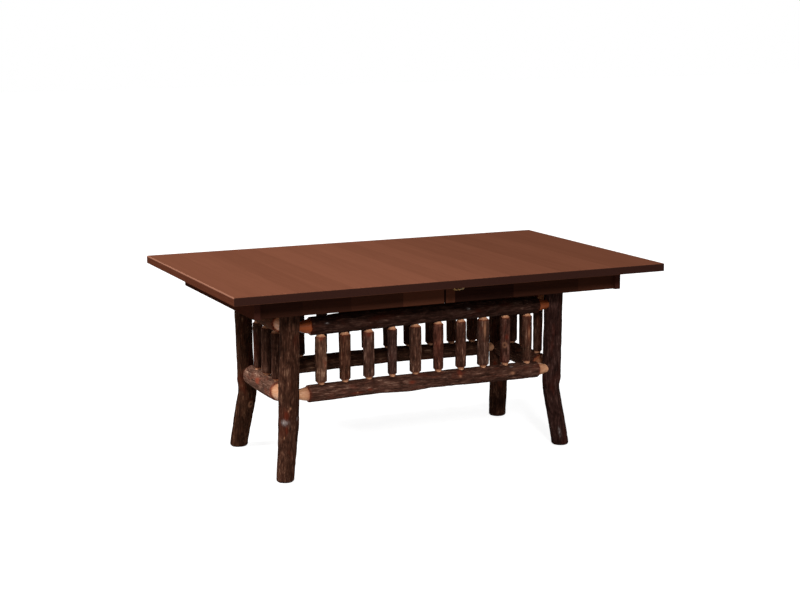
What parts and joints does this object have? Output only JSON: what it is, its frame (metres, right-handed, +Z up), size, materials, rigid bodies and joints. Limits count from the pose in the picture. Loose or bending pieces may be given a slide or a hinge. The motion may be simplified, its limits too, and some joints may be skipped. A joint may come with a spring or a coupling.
{
  "type": "rustic hickory dining table",
  "caption": "Rustic dining table with a stained top in two halves that slides open for leaves over a fixed base of bark-on hickory legs, rails and spindles.",
  "frame": {"origin": "on the floor under the middle of the top", "axes": "+X along the table's length, -Y the front long side, +Z up"},
  "size_m": [1.829, 1.118, 0.787],
  "materials": {
    "hickory_log": "rough bark, with peeled tan wood at the tapered ends",
    "stained_top": "brown stain with a satin clear coat",
    "stained_apron": "dark brown stain with a satin clear coat",
    "slide_wood": "plain hardwood, waxed",
    "gear_nylon": "moulded",
    "screw_steel": "zinc plated",
    "catch_brass": "plain brass, a little dull"
  },
  "bodies": {
    "base": {"back_left_leg": "hickory_log", "back_lower_rail": "hickory_log", "back_right_leg": "hickory_log", "back_spindle_01": "hickory_log", "back_spindle_02": "hickory_log", "back_spindle_03": "hickory_log", "back_spindle_04": "hickory_log", "back_spindle_05": "hickory_log", "back_spindle_06": "hickory_log", "back_spindle_07": "hickory_log", "back_spindle_08": "hickory_log", "back_spindle_09": "hickory_log", "back_spindle_10": "hickory_log", "back_upper_rail": "hickory_log", "base_screws": "screw_steel", "fixed_slides": "slide_wood", "front_left_leg": "hickory_log", "front_lower_rail": "hickory_log", "front_right_leg": "hickory_log", "front_spindle_01": "hickory_log", "front_spindle_02": "hickory_log", "front_spindle_03": "hickory_log", "front_spindle_04": "hickory_log", "front_spindle_05": "hickory_log", "front_spindle_06": "hickory_log", "front_spindle_07": "hickory_log", "front_spindle_08": "hickory_log", "front_spindle_09": "hickory_log", "front_spindle_10": "hickory_log", "front_upper_rail": "hickory_log", "left_cleat": "slide_wood", "left_end_spindles": "hickory_log", "left_lower_rail": "hickory_log", "left_upper_rail": "hickory_log", "pinion_bolt": "screw_steel", "pinion_bridge": "slide_wood", "right_cleat": "slide_wood", "right_end_spindles": "hickory_log", "right_lower_rail": "hickory_log", "right_upper_rail": "hickory_log"},
    "left_half": {"left_top": "stained_top", "left_end_apron": "stained_apron", "left_front_apron": "stained_apron", "left_back_apron": "stained_apron", "left_slides": "slide_wood", "left_rack": "gear_nylon", "left_fasteners": "screw_steel", "latch_keepers": "catch_brass"},
    "right_half": {"right_top": "stained_top", "right_end_apron": "stained_apron", "right_front_apron": "stained_apron", "right_back_apron": "stained_apron", "right_slides": "slide_wood", "right_rack": "gear_nylon", "right_fasteners": "screw_steel", "latch_plates": "catch_brass"},
    "pinion": {"pinion": "gear_nylon"},
    "front_latch": {"front_latch_lever": "catch_brass"},
    "back_latch": {"back_latch_lever": "catch_brass"}
  },
  "joints": [
    {"name": "left_top_slide", "type": "slide", "parent": "base", "child": "left_half", "axis": [-1, 0, 0], "range_m": [0, 0.305]},
    {"name": "right_top_slide", "type": "slide", "parent": "base", "child": "right_half", "axis": [1, 0, 0], "range_m": [0, 0.305]},
    {"name": "pinion_spin", "type": "hinge", "parent": "base", "child": "pinion", "pos_m": [0, 0, 0.735], "axis": [0, 0, 1], "continuous": true},
    {"name": "front_latch_swing", "type": "hinge", "parent": "right_half", "child": "front_latch", "pos_m": [0.018, -0.522, 0.74725], "axis": [0, 0, -1], "range_deg": [0, 40]},
    {"name": "back_latch_swing", "type": "hinge", "parent": "right_half", "child": "back_latch", "pos_m": [0.018, 0.522, 0.74725], "axis": [0, 0, 1], "range_deg": [0, 40]}
  ],
  "couplings": [
    {"joint": "right_top_slide", "follows": "left_top_slide", "ratio": 1},
    {"joint": "pinion_spin", "follows": "left_top_slide", "rad_per_m": 62.5}
  ]
}
